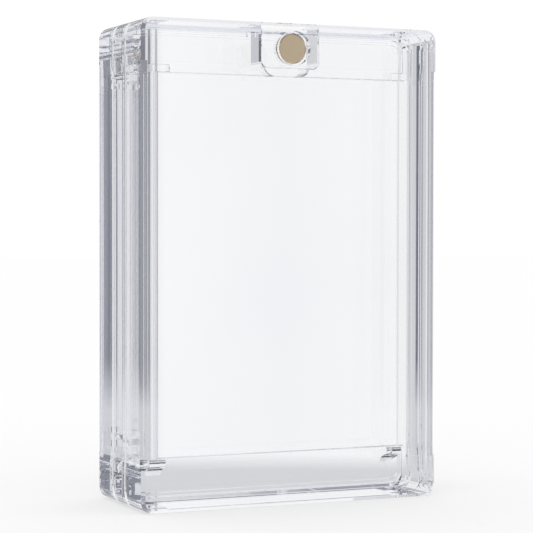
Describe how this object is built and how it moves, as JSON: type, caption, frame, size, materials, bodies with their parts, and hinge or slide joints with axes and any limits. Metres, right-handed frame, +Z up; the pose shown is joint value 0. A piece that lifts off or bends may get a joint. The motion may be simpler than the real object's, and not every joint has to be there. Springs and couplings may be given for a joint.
{
  "type": "trading card display case",
  "caption": "Clear upright case for a trading card: a thick front cover swings on curved tongues and shuts by disc magnets against a card bed and back plate.",
  "frame": {"origin": "centre of the footprint, on the plane that the case stands on", "axes": "+Z up along the case's height, -Y out of the front cover, +X to the right as seen from the front"},
  "size_m": [0.0786, 0.0308, 0.1166],
  "materials": {
    "clear_plastic": "clear polished acrylic with crisp moulded edges",
    "magnet_plating": "satin champagne-gold plating over a sintered magnet"
  },
  "bodies": {
    "case": {"middle_block": "clear_plastic", "back_plate": "clear_plastic", "rear_magnet": "magnet_plating"},
    "cover": {"front_cover": "clear_plastic", "front_magnet": "magnet_plating"}
  },
  "joints": [
    {"name": "cover_swing", "type": "hinge", "parent": "case", "child": "cover", "pos_m": [0, -0.00185, 0], "axis": [1, 0, 0], "range_deg": [0, 38]}
  ]
}
